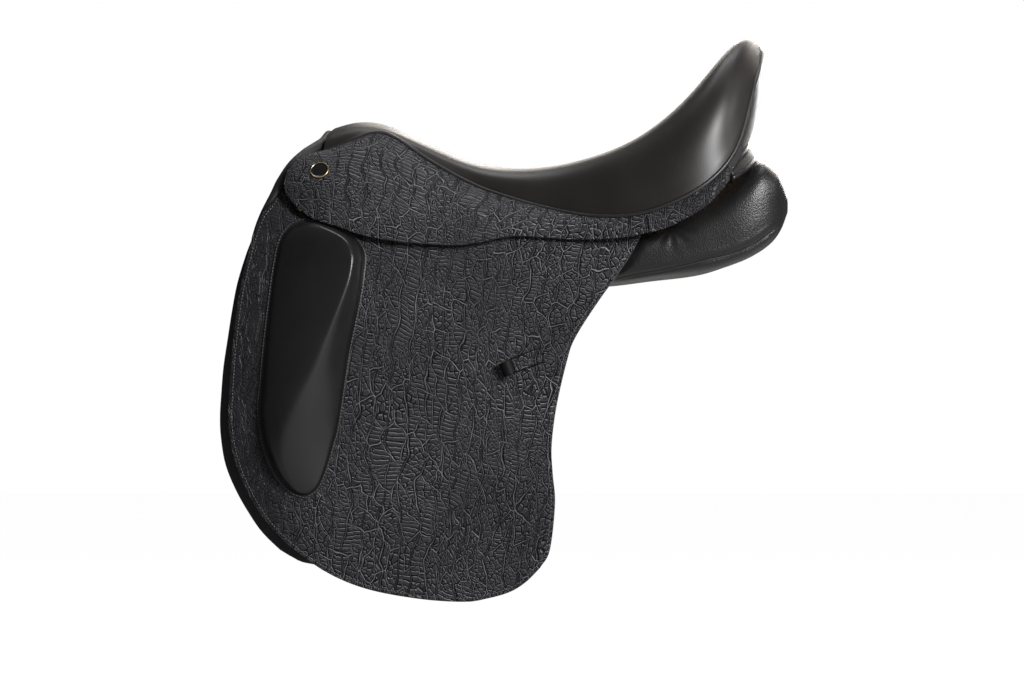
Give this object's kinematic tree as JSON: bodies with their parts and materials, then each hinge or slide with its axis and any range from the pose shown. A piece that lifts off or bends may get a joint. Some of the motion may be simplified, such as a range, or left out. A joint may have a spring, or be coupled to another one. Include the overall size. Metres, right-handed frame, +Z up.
{
  "type": "dressage saddle",
  "caption": "English dressage saddle with deep seat, straight printed-leather flaps, external thigh blocks, flocked panels and recessed stirrup bars.",
  "frame": {"origin": "middle plane, level with the middle of the panels' underside, where the horse's back carries the saddle", "axes": "+X towards the cantle (rear), +Y to the off (right) side, +Z up"},
  "size_m": [0.5326, 0.2994, 0.5344],
  "materials": {
    "smooth_leather": "smooth calf, satin",
    "printed_leather": "coarse printed grain, satin",
    "grained_leather": "fine pebble grain",
    "webbing": "woven",
    "foam": "matte foam",
    "beech": "varnished",
    "steel": "satin",
    "brass": "polished"
  },
  "bodies": {
    "seat_and_panels": {"tree": "beech", "head_plate": "steel", "seat_webbing": "webbing", "seat_foam": "foam", "seat_cover": "smooth_leather", "cantle_back": "smooth_leather", "rear_band": "smooth_leather", "pommel_facing": "smooth_leather", "seat_welt_left": "smooth_leather", "seat_welt_right": "smooth_leather", "skirt_left": "printed_leather", "skirt_right": "printed_leather", "head_nail_left": "brass", "head_nail_right": "brass", "flap_corner_left": "printed_leather", "flap_corner_right": "printed_leather", "sweat_flap_left": "smooth_leather", "sweat_flap_right": "smooth_leather", "panel_left": "grained_leather", "panel_right": "grained_leather", "stirrup_bar_left": "steel", "stirrup_bar_right": "steel", "catch_pin_left": "steel", "catch_pin_right": "steel", "d_ring_staple_left": "brass", "d_ring_staple_right": "brass", "front_girth_web_left": "webbing", "front_girth_web_right": "webbing", "rear_girth_web_left": "webbing", "rear_girth_web_right": "webbing"},
    "flap_left": {"flap_left": "printed_leather", "thigh_block_left": "smooth_leather", "keeper_strap_left": "printed_leather", "keeper_loop_left": "smooth_leather"},
    "front_strap_left": {"front_girth_strap_left": "smooth_leather"},
    "rear_strap_left": {"rear_girth_strap_left": "smooth_leather"},
    "catch_left": {"bar_catch_left": "steel"},
    "ring_left": {"d_ring_left": "brass"},
    "flap_right": {"flap_right": "printed_leather", "thigh_block_right": "smooth_leather", "keeper_strap_right": "printed_leather", "keeper_loop_right": "smooth_leather"},
    "front_strap_right": {"front_girth_strap_right": "smooth_leather"},
    "rear_strap_right": {"rear_girth_strap_right": "smooth_leather"},
    "catch_right": {"bar_catch_right": "steel"},
    "ring_right": {"d_ring_right": "brass"}
  },
  "joints": [
    {"name": "flap_lift_left", "type": "hinge", "parent": "seat_and_panels", "child": "flap_left", "pos_m": [0, -0.10345, 0.0553], "axis": [-0.9943, 0.0994, 0.0378], "range_deg": [0, 80], "deforming": ["skirt_left"]},
    {"name": "front_strap_swing_left", "type": "hinge", "parent": "seat_and_panels", "child": "front_strap_left", "pos_m": [-0.058, -0.09674, 0.0375], "axis": [0.0966, 0.9656, -0.2414], "range_deg": [-5, 5]},
    {"name": "rear_strap_swing_left", "type": "hinge", "parent": "seat_and_panels", "child": "rear_strap_left", "pos_m": [0.02, -0.10454, 0.03454], "axis": [0.0966, 0.9656, -0.2414], "range_deg": [-5, 5]},
    {"name": "catch_turn_left", "type": "hinge", "parent": "seat_and_panels", "child": "catch_left", "pos_m": [-0.089, -0.07605, 0.0725], "axis": [0, -1, 0], "range_deg": [0, 50]},
    {"name": "ring_swing_left", "type": "hinge", "parent": "seat_and_panels", "child": "ring_left", "pos_m": [-0.183, -0.0755, 0.0845], "axis": [-1, 0, 0], "range_deg": [-10, 35]},
    {"name": "flap_lift_right", "type": "hinge", "parent": "seat_and_panels", "child": "flap_right", "pos_m": [0, 0.10345, 0.0553], "axis": [0.9943, 0.0994, -0.0378], "range_deg": [0, 80], "deforming": ["skirt_right"]},
    {"name": "front_strap_swing_right", "type": "hinge", "parent": "seat_and_panels", "child": "front_strap_right", "pos_m": [-0.058, 0.09674, 0.0375], "axis": [-0.0966, 0.9656, 0.2414], "range_deg": [-5, 5]},
    {"name": "rear_strap_swing_right", "type": "hinge", "parent": "seat_and_panels", "child": "rear_strap_right", "pos_m": [0.02, 0.10454, 0.03454], "axis": [-0.0966, 0.9656, 0.2414], "range_deg": [-5, 5]},
    {"name": "catch_turn_right", "type": "hinge", "parent": "seat_and_panels", "child": "catch_right", "pos_m": [-0.089, 0.07605, 0.0725], "axis": [0, -1, 0], "range_deg": [0, 50]},
    {"name": "ring_swing_right", "type": "hinge", "parent": "seat_and_panels", "child": "ring_right", "pos_m": [-0.183, 0.0755, 0.0845], "axis": [1, 0, 0], "range_deg": [-10, 35]}
  ]
}
